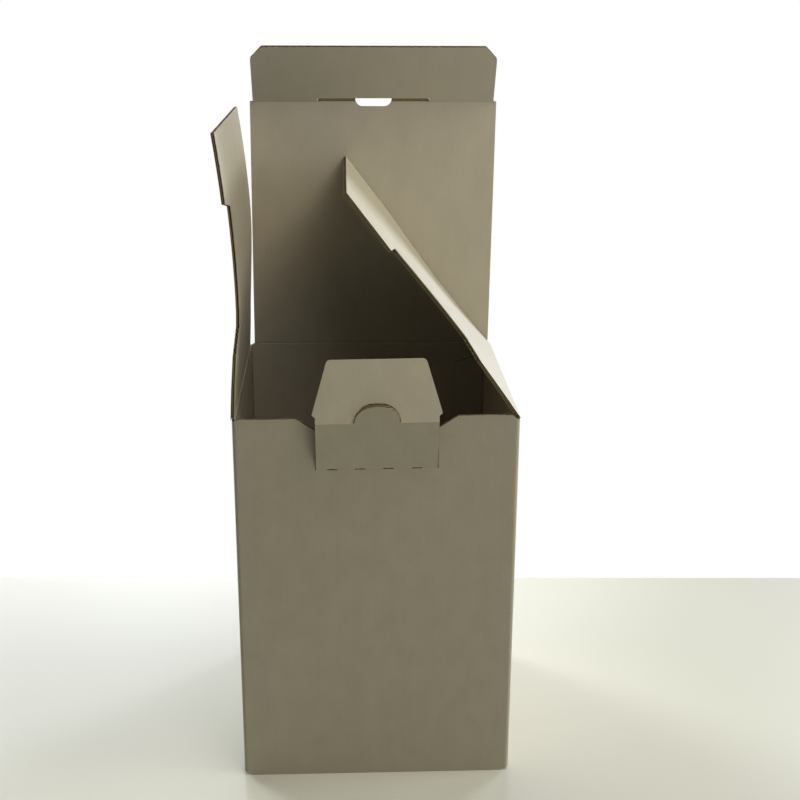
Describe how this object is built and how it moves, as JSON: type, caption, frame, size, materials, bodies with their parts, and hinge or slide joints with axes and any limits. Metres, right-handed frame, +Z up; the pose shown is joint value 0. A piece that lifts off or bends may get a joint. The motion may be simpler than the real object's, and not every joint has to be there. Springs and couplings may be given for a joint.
{
  "type": "shipping box",
  "caption": "Small upright corrugated shipping carton, opened at the top, with hinged lid, tuck flap, two dust flaps and a folding lock tab",
  "frame": {"origin": "middle of the carton's underside, on the surface it stands on", "axes": "+X to the right seen from the front, +Y to the back where the lid is hinged, +Z up"},
  "size_m": [0.125, 0.131, 0.3172],
  "materials": {
    "board": "matte"
  },
  "bodies": {
    "carton_body": {"carton_body": "board"},
    "lid": {"lid": "board"},
    "tuck_flap": {"tuck_flap": "board"},
    "left_dust_flap": {"left_dust_flap": "board"},
    "right_dust_flap": {"right_dust_flap": "board"},
    "lock_tab": {"lock_tab": "board"},
    "lock_tab_tip": {"lock_tab_tip": "board"}
  },
  "joints": [
    {"name": "lid_hinge", "type": "hinge", "parent": "carton_body", "child": "lid", "pos_m": [0, 0.0605, 0.172], "axis": [-1, 0, 0], "range_deg": [0, 165]},
    {"name": "tuck_hinge", "type": "hinge", "parent": "lid", "child": "tuck_flap", "pos_m": [0, 0.0605, 0.291], "axis": [1, 0, 0], "range_deg": [-29, 61]},
    {"name": "left_flap_hinge", "type": "hinge", "parent": "carton_body", "child": "left_dust_flap", "pos_m": [-0.06, 0, 0.1705], "axis": [0, -1, 0], "range_deg": [-22, 165]},
    {"name": "right_flap_hinge", "type": "hinge", "parent": "carton_body", "child": "right_dust_flap", "pos_m": [0.06, 0, 0.1705], "axis": [0, 1, 0], "range_deg": [-52.8, 200]},
    {"name": "lock_tab_hinge", "type": "hinge", "parent": "carton_body", "child": "lock_tab", "pos_m": [0, -0.0605, 0.1489], "axis": [1, 0, 0], "range_deg": [-18, 150]},
    {"name": "tip_hinge", "type": "hinge", "parent": "lock_tab", "child": "lock_tab_tip", "pos_m": [0, -0.06798, 0.17192], "axis": [-1, 0, 0], "range_deg": [-46.5, 43]}
  ]
}
